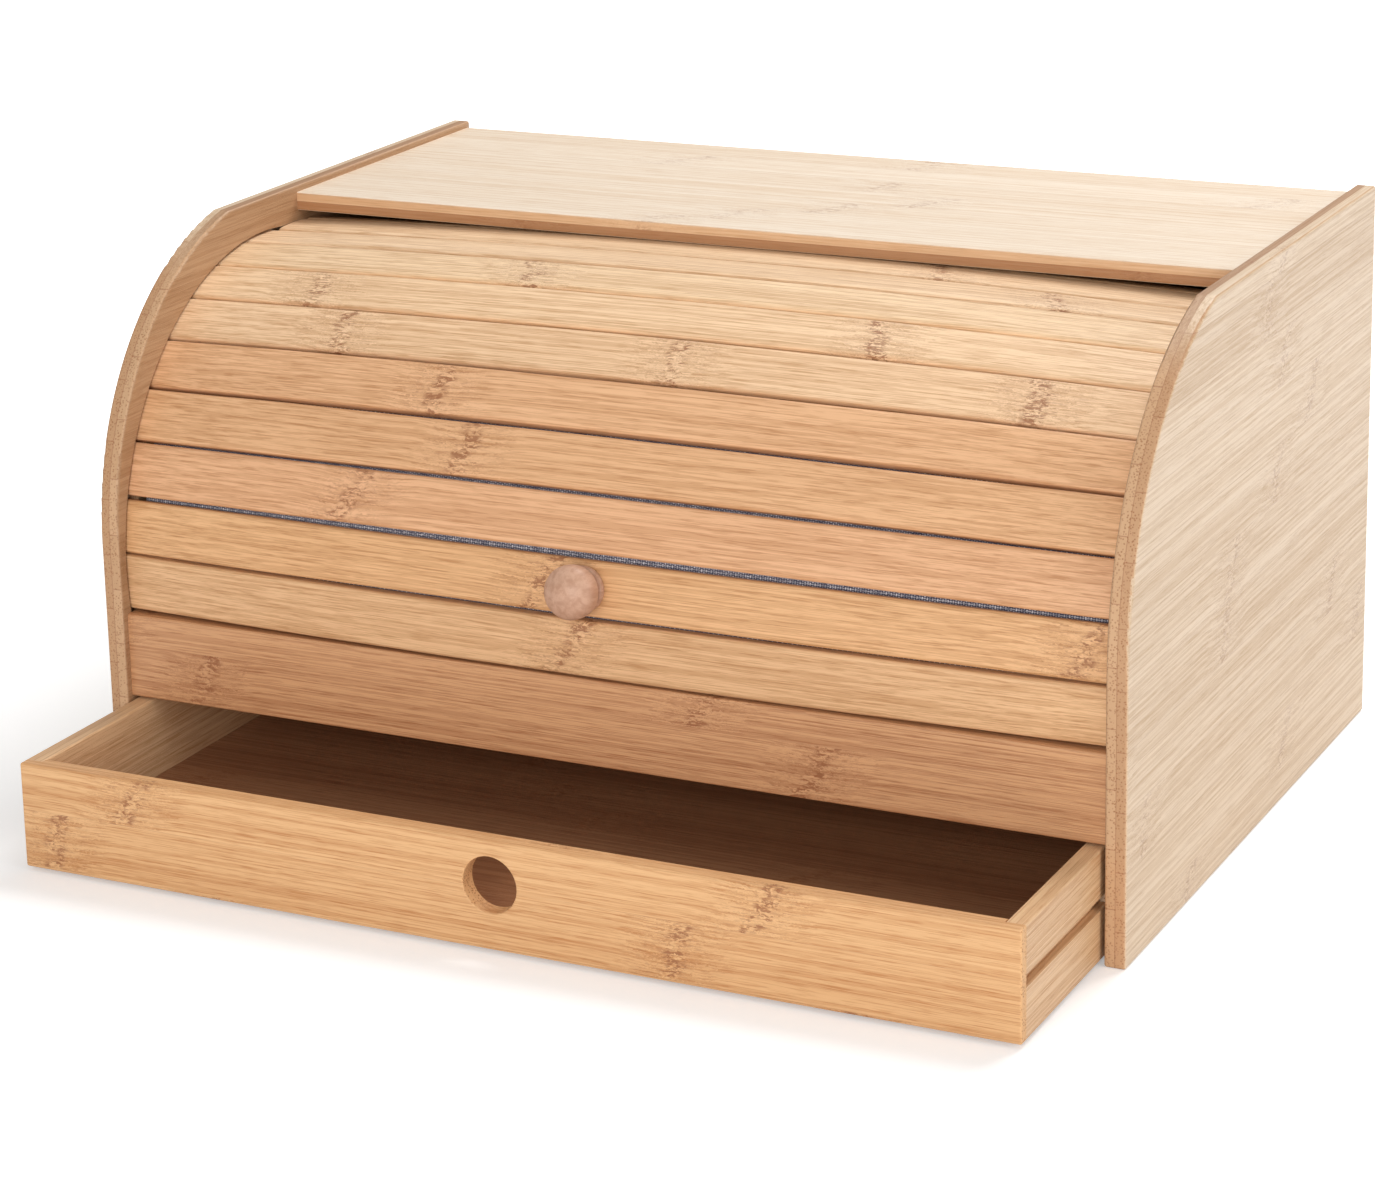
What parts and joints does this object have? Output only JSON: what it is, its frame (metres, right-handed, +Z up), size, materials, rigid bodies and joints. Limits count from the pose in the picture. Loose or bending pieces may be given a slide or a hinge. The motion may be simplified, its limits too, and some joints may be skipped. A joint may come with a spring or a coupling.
{
  "type": "bread box with drawer",
  "caption": "Bamboo bread box with a curved door of wooden slats that rolls up in grooved side panels, and a shallow drawer with a finger hole below.",
  "frame": {"origin": "middle of the whole footprint at the surface it stands on, with the drawer drawn out as at rest", "axes": "+X to the right seen from the front, +Y to the back, +Z up"},
  "size_m": [0.39, 0.34, 0.205],
  "materials": {
    "panel_bamboo": "oiled bamboo board",
    "rail_bamboo": "oiled bamboo board, redder",
    "slat_bamboo": "oiled bamboo strips",
    "drawer_bamboo": "oiled bamboo board",
    "knob_wood": "turned pale hardwood, satin",
    "dowel_wood": "plain beech",
    "cloth": "plain-woven dark blue canvas",
    "steel": "zinc-plated"
  },
  "bodies": {
    "carcass": {"side_panel_left": "panel_bamboo", "side_panel_right": "panel_bamboo", "top_panel": "panel_bamboo", "back_panel": "panel_bamboo", "compartment_floor": "panel_bamboo", "front_rail": "rail_bamboo", "drawer_runner_left": "panel_bamboo", "drawer_runner_right": "panel_bamboo", "carcass_dowels": "dowel_wood", "runner_pins": "steel"},
    "door": {"slat_01": "slat_bamboo", "slat_02": "slat_bamboo", "slat_03": "slat_bamboo", "slat_04": "slat_bamboo", "slat_05": "slat_bamboo", "slat_06": "slat_bamboo", "slat_07": "slat_bamboo", "slat_08": "slat_bamboo", "slat_09": "slat_bamboo", "slat_10": "slat_bamboo", "slat_11": "slat_bamboo", "backing_cloth": "cloth", "knob": "knob_wood", "knob_screw": "steel"},
    "drawer": {"drawer_front": "drawer_bamboo", "drawer_side_left": "drawer_bamboo", "drawer_side_right": "drawer_bamboo", "drawer_back": "drawer_bamboo", "drawer_bottom": "drawer_bamboo", "drawer_dowels": "dowel_wood", "drawer_bottom_screws": "steel"}
  },
  "joints": [
    {"name": "door_turn", "type": "hinge", "parent": "carcass", "child": "door", "pos_m": [0, 0.0075, 0.089], "axis": [-1, 0, 0], "range_deg": [0, 80]},
    {"name": "drawer_slide", "type": "slide", "parent": "carcass", "child": "drawer", "axis": [0, -1, 0], "range_m": [-0.073, 0.107]}
  ]
}
